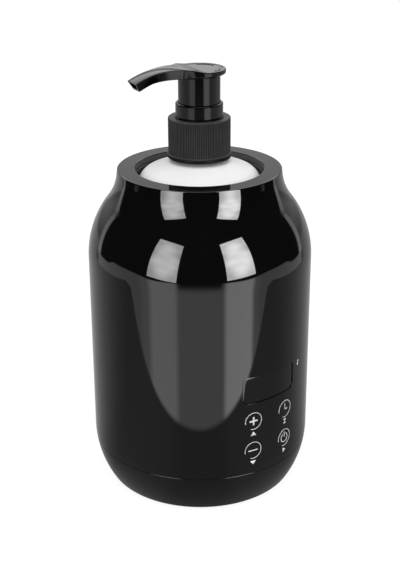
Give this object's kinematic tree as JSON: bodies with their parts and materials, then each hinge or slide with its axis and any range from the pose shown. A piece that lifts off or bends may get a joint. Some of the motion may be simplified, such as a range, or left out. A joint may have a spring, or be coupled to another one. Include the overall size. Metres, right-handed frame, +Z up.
{
  "type": "massage oil warmer",
  "caption": "Jar-shaped heated housing with touch panel and display window; a pump bottle stands in its well and lifts out, its head presses and turns, its ribbed closure unscrews.",
  "frame": {"origin": "On the table under the middle of the base, on the axis of the round housing.", "axes": "+Z up along the housing axis; the touch panel and window face -Y, the power inlet faces +Y."},
  "size_m": [0.104, 0.104, 0.2013],
  "materials": {
    "housing_black": "high gloss moulded",
    "window_tint": "polished tinted",
    "board_green": "solder mask",
    "display_black": "smooth",
    "foam_grey": "foam",
    "chip_black": "moulded",
    "capacitor_blue": "sleeved",
    "connector_ivory": "moulded",
    "screw_steel": "plated",
    "foot_rubber": "matt",
    "well_anodised": "black anodised",
    "seal_silicone": "matt",
    "support_ivory": "moulded",
    "film_amber": "film",
    "felt_white": "needled felt",
    "fuse_white": "glazed",
    "inlet_black": "moulded",
    "pin_brass": "plated",
    "nut_nickel": "nickel plated",
    "lead_red": "insulated wire",
    "lead_white": "insulated wire",
    "lead_black": "insulated wire",
    "bottle_white": "satin blown",
    "gasket_white": "matt",
    "pump_natural": "natural moulded",
    "ball_steel": "polished",
    "pump_black": "gloss moulded",
    "closure_black": "satin ribbed",
    "spring_steel": "drawn wire"
  },
  "bodies": {
    "warmer": {"outer_shell": "housing_black", "base_cap": "housing_black", "display_window": "window_tint", "control_board": "board_green", "display_module": "display_black", "touch_pads": "foam_grey", "microcontroller": "chip_black", "heater_switch": "chip_black", "filter_capacitor": "capacitor_blue", "wire_connectors": "connector_ivory", "board_screws": "screw_steel", "base_screws": "screw_steel", "rubber_feet": "foot_rubber", "heating_well": "well_anodised", "well_seal": "seal_silicone", "well_support": "support_ivory", "film_heater": "film_amber", "insulation_sleeve": "felt_white", "temperature_sensor": "chip_black", "thermal_fuse": "fuse_white", "power_inlet": "inlet_black", "inlet_pin": "pin_brass", "inlet_nut": "nut_nickel", "power_leads": "lead_red", "heater_leads": "lead_white", "sensor_leads": "lead_black"},
    "bottle": {"bottle": "bottle_white"},
    "pump_body": {"neck_gasket": "gasket_white", "pump_housing": "pump_natural", "valve_cage": "pump_natural", "dip_tube": "pump_natural", "lock_ring": "pump_black", "return_spring": "spring_steel"},
    "closure": {"closure": "closure_black"},
    "plunger": {"piston": "pump_natural"},
    "head": {"pump_stem": "pump_natural", "pump_head": "pump_black"},
    "valve_ball": {"check_ball": "ball_steel"}
  },
  "joints": [
    {"name": "bottle_lift", "type": "slide", "parent": "warmer", "child": "bottle", "axis": [0, 0, 1], "range_m": [0, 0.14]},
    {"name": "pump_unscrew", "type": "slide", "parent": "bottle", "child": "pump_body", "axis": [0, 0, 1], "range_m": [0, 0.00397]},
    {"name": "closure_turn", "type": "hinge", "parent": "pump_body", "child": "closure", "pos_m": [0, 0, 0.168], "axis": [0, 0, 1], "range_deg": [0, 450]},
    {"name": "pump_press", "type": "slide", "parent": "pump_body", "child": "plunger", "axis": [0, 0, -1], "range_m": [0, 0.0085], "stiffness_N_per_m": 600, "springref_m": -0.008, "deforming": ["return_spring"]},
    {"name": "head_turn", "type": "hinge", "parent": "plunger", "child": "head", "pos_m": [0, 0, 0.19], "axis": [0, 0, 1], "continuous": true},
    {"name": "ball_rise", "type": "slide", "parent": "pump_body", "child": "valve_ball", "axis": [0, 0, 1], "range_m": [0, 0.0012]}
  ],
  "couplings": [
    {"joint": "closure_turn", "follows": "pump_unscrew", "rad_per_m": 1979}
  ]
}
